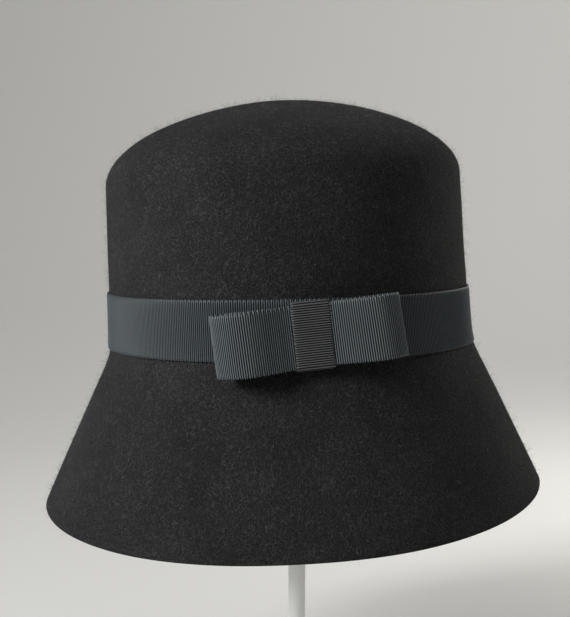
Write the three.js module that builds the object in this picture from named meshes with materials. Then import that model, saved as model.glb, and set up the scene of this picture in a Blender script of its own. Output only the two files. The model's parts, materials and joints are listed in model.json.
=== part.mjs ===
// A felt cloche hat with a ribbon band and a flat bow, on a plain display stand.
//
// Millimetres, +Z up. The front of the hat, with the bow, faces -Y, and +X is to the right of someone
// who looks at the bow. The origin is the centre of the stand's foot, on the surface it stands on.
//
// felt_body is the crown and the brim in one blocked shell. ribbon_band goes round the foot of the
// crown. bow_ribbon is one ribbon folded into two loops, and bow_knot is the narrower ribbon wrapped
// round its middle. stand_base, stand_post and stand_cap carry the hat by the inside of its tip.

import * as THREE from "three";

// ---- the hat, in its own frame: z = 0 is the brim's edge at the sides, and the axis is z
const FELT_THICKNESS = 2.5;
const BRIM_HEIGHT = 66; // from the brim's edge up to the foot of the crown
const CROWN_HALF_WIDTH = 84.3; // outside, at the foot of the crown
const CROWN_HALF_DEPTH = 102.5;
const CROWN_TAPER = 0.022; // the wall draws in by this much for each mm of height
const WALL_HEIGHT = 76.5; // straight wall, from the foot of the crown to the shoulder
const DOME_HEIGHT = 37.5; // from the shoulder to the tip
const DOME_POINT = 1.2; // 1 is an ellipse, and more draws it in towards the tip
const FLARE_SOFTNESS = 4; // how gently the wall turns into the brim
const CROWN_SQUARENESS = 2.1; // 2 is an ellipse in plan
const BRIM_SQUARENESS = 2.3;
const BRIM_SHIFT = -2.2; // the brim's edge isn't quite centred under the crown

// How far the brim runs out from the foot of the crown, and how much lower its edge hangs.
const BRIM = {
  side: { run: 31.3, drop: 0 },
  front: { run: 29, drop: 6.5 },
  back: { run: 27, drop: 2 },
};

// ---- the trimmings
const RIBBON_THICKNESS = 1;
const RIBBON_WIDTH = 25.4;
const BAND_LIFT = 1; // from the foot of the crown up to the band
const BAND_TILT = THREE.MathUtils.degToRad(1.55); // the band sits a little askew on the crown
const GAP = 0.4; // between pieces that lie on each other
const KNOT_WIDTH = 15.5;
const KNOT_CORNER = 1.3;
const BOW_OFFSET = 8.2; // the knot's distance from the middle of the front
const BOW_TILT = THREE.MathUtils.degToRad(-4.3); // its left loop hangs lower
const KNOT_TILT = THREE.MathUtils.degToRad(-2.9);
const BOW_DROP = 1.9; // the bow sits this much below the middle of the band

// Centreline of the folded bow, seen from above: along the band, and out from it.
const BOW_PATH = [
  { along: -36.8, out: -1.8, note: "left fold" },
  { along: -25.0, out: 0.0 },
  { along: -8.2, out: 2.3 },
  { along: 0.0, out: 2.3, note: "back layer, under the knot" },
  { along: 8.2, out: 2.3 },
  { along: 25.0, out: 1.6 },
  { along: 34.4, out: 1.7 },
  { along: 36.8, out: 3.1, note: "right fold" },
  { along: 35.6, out: 5.0 },
  { along: 31.5, out: 6.9 },
  { along: 25.0, out: 7.7 },
  { along: 17.0, out: 6.4 },
  { along: 8.2, out: 3.9 },
  { along: 0.0, out: 3.9, note: "front layer, under the knot" },
  { along: -8.2, out: 3.9 },
  { along: -17.0, out: 5.0 },
  { along: -25.0, out: 5.2 },
  { along: -32.0, out: 3.6 },
  { along: -37.4, out: 1.3 },
  { along: -39.0, out: -0.6 },
];

// ---- the stand, and how the hat sits on it
const BRIM_ABOVE_TABLE = 115;
const HAT_LEAN = THREE.MathUtils.degToRad(-2.75); // its crown leans towards -X
const BASE_RADIUS = 85;
const BASE_THICKNESS = 6;
const BASE_ROUNDING = 2;
const COLLAR_RADIUS = 11;
const COLLAR_HEIGHT = 14;
const POST_RADIUS = 4.1;
const SOCKET_CLEARANCE = 0.3;
const SOCKET_DEPTH = 10;
const CAP_RADIUS = 42;
const CAP_DOME_RADIUS = 95; // of the cap's rounded top
const CAP_RIM = 5; // height of its upright edge
const CAP_CLEARANCE = 1.8;

// ---- how finely the curved pieces are divided
const COLUMNS = 60;
const BRIM_RINGS = 5;
const FLARE_RINGS = 5;
const WALL_RINGS = 3;
const DOME_RINGS = 9;
const BAND_ROWS = 5;
const BOW_STEPS = 88;
const ROUND_SEGMENTS = 40;

const TURN = Math.PI * 2;

const smooth = (t) => t * t * (3 - 2 * t);

// A value given at the front, the sides and the back, at the plan angle whose sine is s.
function around(s, table, key) {
  const end = s < 0 ? table.front : table.back;
  return table.side[key] + (end[key] - table.side[key]) * s * s;
}

// The share of the brim's run that is reached at a height, from 1 at its edge to 0 up the wall.
function flareShare(height) {
  const ramp = (below) => (below + Math.hypot(below, FLARE_SOFTNESS)) / 2;
  return ramp(BRIM_HEIGHT - height) / ramp(BRIM_HEIGHT);
}

// Radius of an oval with the given half sizes, at a plan angle.
function ovalRadius(angle, halfWidth, halfDepth, squareness) {
  const x = Math.abs(Math.cos(angle)) / halfWidth;
  const y = Math.abs(Math.sin(angle)) / halfDepth;
  return (x ** squareness + y ** squareness) ** (-1 / squareness);
}

// A point of the outside of the brim or the wall. Height is measured at the sides.
function wallPoint(height, angle) {
  const s = Math.sin(angle);
  const share = flareShare(height);
  const taper = CROWN_TAPER * (height - BRIM_HEIGHT) * (1 - share);
  const run = share * around(s, BRIM, "run");
  const squareness = THREE.MathUtils.lerp(CROWN_SQUARENESS, BRIM_SQUARENESS, share);
  const r = ovalRadius(angle, CROWN_HALF_WIDTH - taper, CROWN_HALF_DEPTH - taper, squareness) + run;
  const drop = around(s, BRIM, "drop") * smooth(Math.max(0, 1 - height / BRIM_HEIGHT));
  return new THREE.Vector3(r * Math.cos(angle) + BRIM_SHIFT * share, r * s, height - drop);
}

// A point of the outside of the dome: turn is 0 at the shoulder and a quarter turn at the tip.
function domePoint(turn, angle) {
  const shoulder = wallPoint(BRIM_HEIGHT + WALL_HEIGHT, angle);
  const reach = Math.max(0, Math.cos(turn)) ** DOME_POINT;
  return new THREE.Vector3(
    shoulder.x * reach,
    shoulder.y * reach,
    shoulder.z + DOME_HEIGHT * Math.sin(turn),
  );
}

// The outside of the felt, at a distance up the profile that is 0 at the brim's edge, 3 at the
// shoulder and 4 at the tip.
function feltPoint(up, angle) {
  const foot = BRIM_HEIGHT - 14;
  const top = BRIM_HEIGHT + 14;
  if (up <= 1) return wallPoint(up * foot, angle);
  if (up <= 2) return wallPoint(foot + (up - 1) * (top - foot), angle);
  if (up <= 3) return wallPoint(top + (up - 2) * (BRIM_HEIGHT + WALL_HEIGHT - top), angle);
  return domePoint((up - 3) * (Math.PI / 2), angle);
}

// The outward direction of the felt at that place.
function feltNormal(up, angle) {
  const step = 1e-3;
  const along = feltPoint(up, angle + step).sub(feltPoint(up, angle - step));
  const upward = feltPoint(Math.min(up + step, 4), angle).sub(feltPoint(Math.max(up - step, 0), angle));
  return along.cross(upward).normalize();
}

// Triangles of a grid of points that closes on itself along each row. Rows run upwards, or round the
// section, and columns run anticlockwise seen from above.
function gridFaces(rows, columns, closed) {
  const faces = [];
  for (let j = 0; j < (closed ? rows : rows - 1); j++)
    for (let i = 0; i < columns; i++) {
      const a = j * columns + i;
      const b = j * columns + ((i + 1) % columns);
      const c = ((j + 1) % rows) * columns + ((i + 1) % columns);
      const d = ((j + 1) % rows) * columns + i;
      faces.push(a, b, c, a, c, d);
    }
  return faces;
}

function geometryOf(points, faces) {
  const geometry = new THREE.BufferGeometry();
  geometry.setFromPoints(points);
  geometry.setIndex(faces);
  geometry.computeVertexNormals();
  return geometry;
}

// The crown and the brim: a shell with its outside, its inside and the cut edge of the felt.
function feltGeometry() {
  const ups = [];
  for (let k = 0; k < BRIM_RINGS; k++) ups.push(k / BRIM_RINGS);
  for (let k = 0; k < FLARE_RINGS; k++) ups.push(1 + k / FLARE_RINGS);
  for (let k = 0; k < WALL_RINGS; k++) ups.push(2 + k / WALL_RINGS);
  for (let k = 0; k < DOME_RINGS; k++) ups.push(3 + k / DOME_RINGS);
  const ring = (up, depth) =>
    Array.from({ length: COLUMNS }, (_, i) => {
      const angle = (i / COLUMNS) * TURN;
      return feltPoint(up, angle).addScaledVector(feltNormal(up, angle), -depth);
    });
  const outside = ups.map((up) => ring(up, 0));
  const inside = ups.map((up) => ring(up, FELT_THICKNESS)).reverse();
  const tip = feltPoint(4, 0);
  const points = [...inside.flat(), ...outside.flat()];
  const faces = gridFaces(ups.length * 2, COLUMNS, false);
  // The middle pair of rows is the cut edge. The first and the last row close on the tip.
  const innerTip = points.push(tip.clone().setZ(tip.z - FELT_THICKNESS)) - 1;
  const outerTip = points.push(tip) - 1;
  const lastRow = (ups.length * 2 - 1) * COLUMNS;
  for (let i = 0; i < COLUMNS; i++) {
    const next = (i + 1) % COLUMNS;
    faces.push(innerTip, next, i);
    faces.push(outerTip, lastRow + i, lastRow + next);
  }
  return geometryOf(points, faces);
}

// The band hugs the felt, so each of its rows is the felt's outside at that row's height.
function bandPoint(across, angle, offset) {
  const guess = wallPoint(BRIM_HEIGHT, angle);
  const height = BRIM_HEIGHT + BAND_LIFT + across * RIBBON_WIDTH - Math.tan(BAND_TILT) * guess.x;
  const step = 0.5;
  const along = wallPoint(height, angle + 1e-3).sub(wallPoint(height, angle - 1e-3));
  const upward = wallPoint(height + step, angle).sub(wallPoint(height - step, angle));
  return wallPoint(height, angle).addScaledVector(along.cross(upward).normalize(), offset);
}

function bandGeometry() {
  const rows = [];
  for (let k = BAND_ROWS - 1; k >= 0; k--) rows.push({ across: k / (BAND_ROWS - 1), offset: GAP });
  for (let k = 0; k < BAND_ROWS; k++)
    rows.push({ across: k / (BAND_ROWS - 1), offset: GAP + RIBBON_THICKNESS });
  const points = rows.flatMap(({ across, offset }) =>
    Array.from({ length: COLUMNS }, (_, i) => bandPoint(across, (i / COLUMNS) * TURN, offset)),
  );
  return geometryOf(points, gridFaces(rows.length, COLUMNS, true));
}

// The folded ribbon of the bow, as a closed outline with the loops' hollow, extruded by its width.
function bowGeometry() {
  const curve = new THREE.CatmullRomCurve3(
    BOW_PATH.map(({ along, out }) => new THREE.Vector3(along, out, 0)),
    true,
    "centripetal",
  );
  const outline = (offset) =>
    Array.from({ length: BOW_STEPS }, (_, k) => {
      const t = k / BOW_STEPS;
      const tangent = curve.getTangentAt(t);
      const p = curve.getPointAt(t);
      return new THREE.Vector2(p.x + tangent.y * offset, p.y - tangent.x * offset);
    });
  const shape = new THREE.Shape(outline(RIBBON_THICKNESS / 2));
  shape.holes.push(new THREE.Path(outline(-RIBBON_THICKNESS / 2)));
  return flatRing(shape, RIBBON_WIDTH);
}

// An outline in the plane of (along, out), extruded across the ribbon and centred on it. The result
// has +X along the band, -Y out from it and +Z across the ribbon.
function flatRing(shape, width) {
  const geometry = new THREE.ExtrudeGeometry(shape, { depth: width, bevelEnabled: false });
  geometry.translate(0, 0, -width / 2);
  geometry.scale(1, -1, -1);
  return geometry;
}

function roundedRectangle(path, left, bottom, width, height, corner) {
  path.moveTo(left + corner, bottom);
  path.lineTo(left + width - corner, bottom);
  path.absarc(left + width - corner, bottom + corner, corner, -Math.PI / 2, 0);
  path.lineTo(left + width, bottom + height - corner);
  path.absarc(left + width - corner, bottom + height - corner, corner, 0, Math.PI / 2);
  path.lineTo(left + corner, bottom + height);
  path.absarc(left + corner, bottom + height - corner, corner, Math.PI / 2, Math.PI);
  path.lineTo(left, bottom + corner);
  path.absarc(left + corner, bottom + corner, corner, Math.PI, Math.PI * 1.5);
  return path;
}

// The knot's ribbon goes round both layers of the bow: a rounded frame, as wide as the narrow ribbon.
function knotGeometry() {
  const innerBottom = GAP + RIBBON_THICKNESS;
  const frontLayer = BOW_PATH.find((row) => row.note?.startsWith("front")).out;
  const innerHeight = frontLayer + RIBBON_THICKNESS / 2 + GAP - innerBottom;
  const innerWidth = RIBBON_WIDTH + 2 * GAP;
  const t = RIBBON_THICKNESS;
  const outer = [-innerWidth / 2 - t, innerBottom - t, innerWidth + 2 * t, innerHeight + 2 * t];
  const shape = roundedRectangle(new THREE.Shape(), ...outer, KNOT_CORNER);
  const inner = [-innerWidth / 2, innerBottom, innerWidth, innerHeight];
  shape.holes.push(roundedRectangle(new THREE.Path(), ...inner, KNOT_CORNER - t));
  const geometry = new THREE.ExtrudeGeometry(shape, {
    depth: KNOT_WIDTH,
    bevelEnabled: false,
    curveSegments: 5,
  });
  // From (across, out, along) to +X along the band, -Y out from it and +Z across it.
  geometry.translate(0, 0, -KNOT_WIDTH / 2);
  geometry.applyMatrix4(new THREE.Matrix4().set(0, 0, 1, 0, 0, -1, 0, 0, 1, 0, 0, 0, 0, 0, 0, 1));
  return geometry;
}

// Where the bow is sewn on: on the outside of the band, at the given distance from the front's middle.
function placeBow(group) {
  let angle = -Math.PI / 2;
  while (bandPoint(0.5, angle, 0).x < BOW_OFFSET) angle += 1e-4;
  const low = bandPoint(0, angle, GAP + RIBBON_THICKNESS);
  const high = bandPoint(1, angle, GAP + RIBBON_THICKNESS);
  const side = bandPoint(0.5, angle + 0.01, 0).sub(bandPoint(0.5, angle - 0.01, 0)).normalize();
  const up = high.clone().sub(low).normalize();
  const inward = up.clone().cross(side).normalize();
  group.quaternion.setFromRotationMatrix(new THREE.Matrix4().makeBasis(side, inward, up));
  group.position.copy(low.add(high).divideScalar(2)).addScaledVector(up, -BOW_DROP);
}

// A turned piece whose profile is a list of [radius, height] from the axis back to the axis.
function turnedGeometry(profile) {
  const points = profile.map(([radius, height]) => new THREE.Vector2(radius, height));
  const geometry = new THREE.LatheGeometry(points, ROUND_SEGMENTS);
  geometry.rotateX(Math.PI / 2);
  return geometry;
}

// Points of a quarter circle or less, as [radius, height], from one angle to another.
function arc(centreRadius, centreHeight, radius, from, to, steps) {
  return Array.from({ length: steps + 1 }, (_, k) => {
    const angle = from + ((to - from) * k) / steps;
    return [centreRadius + radius * Math.cos(angle), centreHeight + radius * Math.sin(angle)];
  });
}

function baseGeometry() {
  const edge = BASE_RADIUS - BASE_ROUNDING;
  const socket = POST_RADIUS + SOCKET_CLEARANCE;
  const floor = COLLAR_HEIGHT - SOCKET_DEPTH;
  return turnedGeometry([
    [0, 0],
    [BASE_RADIUS - 1, 0],
    [BASE_RADIUS, 1],
    ...arc(edge, BASE_THICKNESS - BASE_ROUNDING, BASE_ROUNDING, 0, Math.PI / 2, 4),
    [COLLAR_RADIUS + 2, BASE_THICKNESS],
    [COLLAR_RADIUS, BASE_THICKNESS + 2],
    [COLLAR_RADIUS, COLLAR_HEIGHT - 1],
    [COLLAR_RADIUS - 1, COLLAR_HEIGHT],
    [socket, COLLAR_HEIGHT],
    [socket, floor],
    [0, floor],
  ]);
}

function postGeometry(bottom, top) {
  return turnedGeometry([
    [0, bottom],
    [POST_RADIUS, bottom],
    [POST_RADIUS, top],
    [0, top],
  ]);
}

// A shallow mushroom that the tip of the crown rests on.
function capGeometry(top) {
  const centre = top - CAP_DOME_RADIUS;
  const rimAngle = Math.acos(CAP_RADIUS / CAP_DOME_RADIUS);
  const rimTop = centre + CAP_DOME_RADIUS * Math.sin(rimAngle);
  const socket = POST_RADIUS + SOCKET_CLEARANCE;
  const dome = arc(0, centre, CAP_DOME_RADIUS, rimAngle, Math.PI / 2, 7).slice(0, -1);
  const under = rimTop - CAP_RIM;
  return turnedGeometry([
    [0, under + SOCKET_CLEARANCE],
    [socket, under + SOCKET_CLEARANCE],
    [socket, under - SOCKET_DEPTH / 2],
    [COLLAR_RADIUS, under - SOCKET_DEPTH / 2],
    [COLLAR_RADIUS + 6, under],
    [CAP_RADIUS - 1, under],
    [CAP_RADIUS, under + 1],
    ...dome,
    [0, top],
  ]);
}

function finish(color, roughness) {
  return new THREE.MeshStandardMaterial({ color, roughness, metalness: 0 });
}

const felt = finish(0x232326, 0.95);
const bandRibbon = finish(0x2b3436, 0.6);
const bowRibbon = finish(0x252d2f, 0.6);
const stand = finish(0xdcdcd6, 0.5);

function piece(name, geometry, material) {
  const mesh = new THREE.Mesh(geometry, material);
  mesh.name = name;
  return mesh;
}

const hat = new THREE.Group();
hat.add(piece("felt_body", feltGeometry(), felt));
hat.add(piece("ribbon_band", bandGeometry(), bandRibbon));
const bow = new THREE.Group();
bow.add(piece("bow_ribbon", bowGeometry().rotateY(BOW_TILT), bowRibbon));
bow.add(piece("bow_knot", knotGeometry().rotateY(KNOT_TILT), bowRibbon));
placeBow(bow);
hat.add(bow);
hat.position.z = BRIM_ABOVE_TABLE;
hat.rotation.y = HAT_LEAN;

// The cap's top stops just under the felt, straight above the post.
const crownTop = BRIM_HEIGHT + WALL_HEIGHT + DOME_HEIGHT;
const capTop = BRIM_ABOVE_TABLE + crownTop - FELT_THICKNESS - CAP_CLEARANCE;
const rimDrop = CAP_DOME_RADIUS - Math.sqrt(CAP_DOME_RADIUS ** 2 - CAP_RADIUS ** 2);
const postTop = capTop - rimDrop - CAP_RIM;
const postFoot = COLLAR_HEIGHT - SOCKET_DEPTH + SOCKET_CLEARANCE;

const model = new THREE.Group();
model.add(hat);
model.add(piece("stand_base", baseGeometry(), stand));
model.add(piece("stand_post", postGeometry(postFoot, postTop), stand));
model.add(piece("stand_cap", capGeometry(capTop), stand));

export default model;
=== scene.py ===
import json
import math

import bpy
import bmesh
from mathutils import Matrix, Vector

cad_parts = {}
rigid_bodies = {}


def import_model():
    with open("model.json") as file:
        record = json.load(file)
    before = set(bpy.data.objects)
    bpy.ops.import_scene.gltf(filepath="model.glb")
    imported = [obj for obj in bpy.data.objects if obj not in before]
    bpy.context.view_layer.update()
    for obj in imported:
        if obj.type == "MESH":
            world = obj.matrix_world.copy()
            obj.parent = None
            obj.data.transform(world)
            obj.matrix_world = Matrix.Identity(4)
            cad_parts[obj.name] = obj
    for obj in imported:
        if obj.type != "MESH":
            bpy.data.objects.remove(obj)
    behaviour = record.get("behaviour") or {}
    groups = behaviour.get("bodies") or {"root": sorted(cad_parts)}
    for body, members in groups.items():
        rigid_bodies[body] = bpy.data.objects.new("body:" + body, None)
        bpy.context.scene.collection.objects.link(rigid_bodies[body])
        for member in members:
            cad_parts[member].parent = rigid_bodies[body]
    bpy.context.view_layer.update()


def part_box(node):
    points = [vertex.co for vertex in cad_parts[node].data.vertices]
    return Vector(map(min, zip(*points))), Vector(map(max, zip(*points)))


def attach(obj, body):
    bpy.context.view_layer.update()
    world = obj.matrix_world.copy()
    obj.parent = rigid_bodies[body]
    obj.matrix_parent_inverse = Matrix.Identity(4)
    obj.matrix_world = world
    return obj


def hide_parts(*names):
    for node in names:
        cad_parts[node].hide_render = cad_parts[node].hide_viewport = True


for obj in list(bpy.data.objects):  # the start-up cube, lamp and camera
    bpy.data.objects.remove(obj)
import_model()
mm = 0.001

# Where the hat sits. Its own frame has z = 0 at the brim's edge, at the sides.
hatPose = {"lift": 115 * mm, "lean": math.radians(-2.75)}

# The blocked shape that the felt and the band share.
hatShape = {
    "Crown Half Width": 84.3 * mm,
    "Crown Half Depth": 102.5 * mm,
    "Crown Taper": 0.022,
    "Brim Height": 66 * mm,
    "Flare Softness": 4 * mm,
    "Crown Squareness": 2.1,
    "Brim Squareness": 2.3,
    "Brim Shift": -2.2 * mm,
    "Side Run": 31.3 * mm,
    "Front Run": 29 * mm,
    "Back Run": 27 * mm,
    "Front Drop": 6.5 * mm,
    "Back Drop": 2 * mm,
}

floatKind, vectorKind, wholeKind = "NodeSocketFloat", "NodeSocketVector", "NodeSocketInt"
geometryKind, materialKind = "NodeSocketGeometry", "NodeSocketMaterial"


# A node tree with named inputs, given as (label, kind, value), and outputs, as (label, kind).
def newTree(name, inputs, outputs, kind="GeometryNodeTree"):
    tree = bpy.data.node_groups.new(name, kind)
    for label, socketKind, value in inputs:
        socket = tree.interface.new_socket(label, in_out="INPUT", socket_type=socketKind)
        if value is not None:
            socket.default_value = value
    for label, socketKind in outputs:
        tree.interface.new_socket(label, in_out="OUTPUT", socket_type=socketKind)
    tree.nodes.new("NodeGroupInput")
    tree.nodes.new("NodeGroupOutput")
    return tree


# Adds a node. feeds go to its inputs by name or number, and are plain values or other sockets.
def addNode(tree, kind, feeds=None, **settings):
    node = tree.nodes.new(kind)
    node.location = (220 * (len(tree.nodes) % 30), -260 * (len(tree.nodes) // 30))
    for key, value in settings.items():
        setattr(node, key, value)
    for key, value in (feeds or {}).items():
        if isinstance(value, bpy.types.NodeSocket):
            tree.links.new(value, node.inputs[key])
        elif value is not None:
            node.inputs[key].default_value = value
    return node


def maths(tree, operation, *values, clamp=False):
    return addNode(tree, "ShaderNodeMath", dict(enumerate(values)), operation=operation, use_clamp=clamp).outputs[0]


def vectors(tree, operation, *values):
    node = addNode(tree, "ShaderNodeVectorMath", dict(enumerate(values)), operation=operation)
    return node.outputs["Value" if operation in ("LENGTH", "DOT_PRODUCT") else "Vector"]


def scaled(tree, vector, amount):
    return addNode(tree, "ShaderNodeVectorMath", {0: vector, "Scale": amount}, operation="SCALE").outputs["Vector"]


def ramp(tree, value, low, high, toLow=0.0, toHigh=1.0, shape="SMOOTHSTEP"):
    feeds = {"Value": value, "From Min": low, "From Max": high, "To Min": toLow, "To Max": toHigh}
    return addNode(tree, "ShaderNodeMapRange", feeds, interpolation_type=shape).outputs["Result"]


def treeInput(tree, label):
    return next(n for n in tree.nodes if n.type == "GROUP_INPUT").outputs[label]


def treeOutput(tree, label, source):
    tree.links.new(source, next(n for n in tree.nodes if n.type == "GROUP_OUTPUT").inputs[label])


def attribute(tree, name, kind="FLOAT"):
    return addNode(tree, "GeometryNodeInputNamedAttribute", {"Name": name}, data_type=kind).outputs["Attribute"]


def store(tree, geometry, name, value, kind="FLOAT"):
    feeds = {"Geometry": geometry, "Name": name, "Value": value}
    return addNode(tree, "GeometryNodeStoreNamedAttribute", feeds, data_type=kind, domain="POINT").outputs["Geometry"]


# The last nodes of every tree that makes a piece.
def finishTree(tree, geometry):
    realized = addNode(tree, "GeometryNodeRealizeInstances", {"Geometry": geometry}).outputs["Geometry"]
    smoothed = addNode(tree, "GeometryNodeSetShadeSmooth", {"Geometry": realized}).outputs["Geometry"]
    painted = addNode(tree, "GeometryNodeSetMaterial", {"Geometry": smoothed, "Material": treeInput(tree, "Material")})
    treeOutput(tree, "Geometry", painted.outputs["Geometry"])


def shapeInputs():
    return [(label, floatKind, value) for label, value in hatShape.items()]


# Puts a tree on an object, with its inputs set by their identifiers.
def addTree(obj, tree, values):
    modifier = obj.modifiers.new(tree.name, "NODES")
    modifier.node_group = tree
    for item in tree.interface.items_tree:
        if item.item_type == "SOCKET" and item.in_out == "INPUT" and item.name in values:
            modifier[item.identifier] = values[item.name]
    return modifier


def meshObject(name, mesh):
    obj = bpy.data.objects.new(name, mesh)
    bpy.context.scene.collection.objects.link(obj)
    return obj


# The object with its modifiers made real, as a new plain mesh under the same name.
def settle(obj, name):
    bpy.context.view_layer.update()
    solid = obj.evaluated_get(bpy.context.evaluated_depsgraph_get())
    mesh = bpy.data.meshes.new_from_object(solid)
    bpy.data.objects.remove(obj)
    mesh.name = name
    return meshObject(name, mesh)


def triangles(obj):
    return sum(len(p.vertices) - 2 for p in obj.data.polygons)


def report(obj):
    print(f"made {obj.name}: {triangles(obj)} triangles")


# ---- the hat's wall as a rule

# A point of the felt's outside, from its plan angle and its height at the sides.
def hatWallTree():
    inputs = [("Angle", floatKind, 0.0), ("Height", floatKind, 0.0)] + shapeInputs()
    tree = newTree("hatWall", inputs, [("Position", vectorKind), ("Share", floatKind)])
    size = lambda label: treeInput(tree, label)
    m = lambda *parts: maths(tree, *parts)
    angle, height = size("Angle"), size("Height")
    cosine, sine = m("COSINE", angle), m("SINE", angle)
    sineSquared = m("MULTIPLY", sine, sine)
    isFront = m("LESS_THAN", sine, 0.0)

    def eased(below):
        soft = m("MULTIPLY", size("Flare Softness"), size("Flare Softness"))
        return m("ADD", below, m("SQRT", m("MULTIPLY_ADD", below, below, soft)))

    def frontOrBack(label):
        extra = m("SUBTRACT", size("Front " + label), size("Back " + label))
        return m("MULTIPLY_ADD", extra, isFront, size("Back " + label))

    # the share of the brim's run reached at this height, from 1 at its edge to 0 up the wall
    share = m("DIVIDE", eased(m("SUBTRACT", size("Brim Height"), height)), eased(size("Brim Height")))
    rise = m("SUBTRACT", height, size("Brim Height"))
    drawnIn = m("MULTIPLY", m("MULTIPLY", size("Crown Taper"), rise), m("SUBTRACT", 1.0, share))
    extraSquareness = m("SUBTRACT", size("Brim Squareness"), size("Crown Squareness"))
    squareness = m("MULTIPLY_ADD", extraSquareness, share, size("Crown Squareness"))
    x = m("DIVIDE", m("ABSOLUTE", cosine), m("SUBTRACT", size("Crown Half Width"), drawnIn))
    y = m("DIVIDE", m("ABSOLUTE", sine), m("SUBTRACT", size("Crown Half Depth"), drawnIn))
    powers = m("ADD", m("POWER", x, squareness), m("POWER", y, squareness))
    oval = m("POWER", powers, m("DIVIDE", -1.0, squareness))
    run = m("MULTIPLY_ADD", m("SUBTRACT", frontOrBack("Run"), size("Side Run")), sineSquared, size("Side Run"))
    radius = m("MULTIPLY_ADD", run, share, oval)
    hang = ramp(tree, m("DIVIDE", height, size("Brim Height")), 0.0, 1.0, 1.0, 0.0)
    drop = m("MULTIPLY", m("MULTIPLY", frontOrBack("Drop"), sineSquared), hang)
    point = addNode(tree, "ShaderNodeCombineXYZ", {
        "X": m("MULTIPLY_ADD", size("Brim Shift"), share, m("MULTIPLY", radius, cosine)),
        "Y": m("MULTIPLY", radius, sine),
        "Z": m("SUBTRACT", height, drop),
    })
    treeOutput(tree, "Position", point.outputs["Vector"])
    treeOutput(tree, "Share", share)
    return tree


hatWall = hatWallTree()


# The wall group inside another tree, at an angle and a height.
def wallAt(tree, angle, height):
    feeds = {label: treeInput(tree, label) for label in hatShape}
    node = addNode(tree, "GeometryNodeGroup", node_tree=hatWall)
    for key, value in {**feeds, "Angle": angle, "Height": height}.items():
        if isinstance(value, bpy.types.NodeSocket):
            tree.links.new(value, node.inputs[key])
        else:
            node.inputs[key].default_value = value
    return node


# Leans the hat and lifts it on to its stand.
def seated(tree, geometry):
    turn = addNode(tree, "ShaderNodeCombineXYZ", {"Y": treeInput(tree, "Lean")}).outputs["Vector"]
    lift = addNode(tree, "ShaderNodeCombineXYZ", {"Z": treeInput(tree, "Lift")}).outputs["Vector"]
    feeds = {"Geometry": geometry, "Translation": lift, "Rotation": turn}
    return addNode(tree, "GeometryNodeTransform", feeds).outputs["Geometry"]


poseInputs = [("Lift", floatKind, hatPose["lift"]), ("Lean", floatKind, hatPose["lean"])]


# ---- materials

def newMaterial(name, **sockets):
    material = bpy.data.materials.new(name)
    material.use_nodes = True
    shader = material.node_tree.nodes["Principled BSDF"]
    for label, value in sockets.items():
        shader.inputs[label.replace("_", " ")].default_value = value
    return material, material.node_tree, shader


# Small unevenness that several finishes share: a slow change of tone and a fine grain.
def grainGroup():
    tree = newTree("grain", [
        ("Vector", vectorKind, None),
        ("Patch Size", floatKind, 20 * mm),
        ("Grain Size", floatKind, 1 * mm),
        ("Patch", floatKind, 0.5),
    ], [("Tone", floatKind), ("Height", floatKind)], "ShaderNodeTree")
    coordinates = treeInput(tree, "Vector")
    one = lambda label: maths(tree, "DIVIDE", 1.0, treeInput(tree, label))
    patches = addNode(tree, "ShaderNodeTexNoise", {"Vector": coordinates, "Scale": one("Patch Size"), "Detail": 3.0})
    grains = addNode(tree, "ShaderNodeTexNoise", {"Vector": coordinates, "Scale": one("Grain Size"), "Detail": 4.0,
                                                  "Roughness": 0.65})
    blend = addNode(tree, "ShaderNodeMix", {"Factor": treeInput(tree, "Patch"), "A": grains.outputs["Fac"],
                                            "B": patches.outputs["Fac"]})
    treeOutput(tree, "Tone", blend.outputs["Result"])
    treeOutput(tree, "Height", grains.outputs["Fac"])
    return tree


grain = grainGroup()


def addGrain(tree, vector, patchSize, grainSize, patch):
    node = addNode(tree, "ShaderNodeGroup", node_tree=grain)
    tree.links.new(vector, node.inputs["Vector"])
    for label, value in {"Patch Size": patchSize, "Grain Size": grainSize, "Patch": patch}.items():
        node.inputs[label].default_value = value
    return node


def colourRamp(tree, factor, *stops):
    node = addNode(tree, "ShaderNodeValToRGB", {"Fac": factor})
    elements = node.color_ramp.elements
    while len(elements) < len(stops):
        elements.new(0.5)
    for element, (place, colour) in zip(elements, stops):
        element.position = place
        element.color = (*colour, 1)
    return node.outputs["Color"]


def addBump(tree, shader, height, distance, strength=1.0):
    bump = addNode(tree, "ShaderNodeBump", {"Height": height, "Distance": distance, "Strength": strength})
    tree.links.new(bump.outputs["Normal"], shader.inputs["Normal"])
    return bump


feltLook = {"dark": (0.006, 0.006, 0.007), "mid": (0.018, 0.018, 0.019), "pale": (0.054, 0.053, 0.052)}


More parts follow.
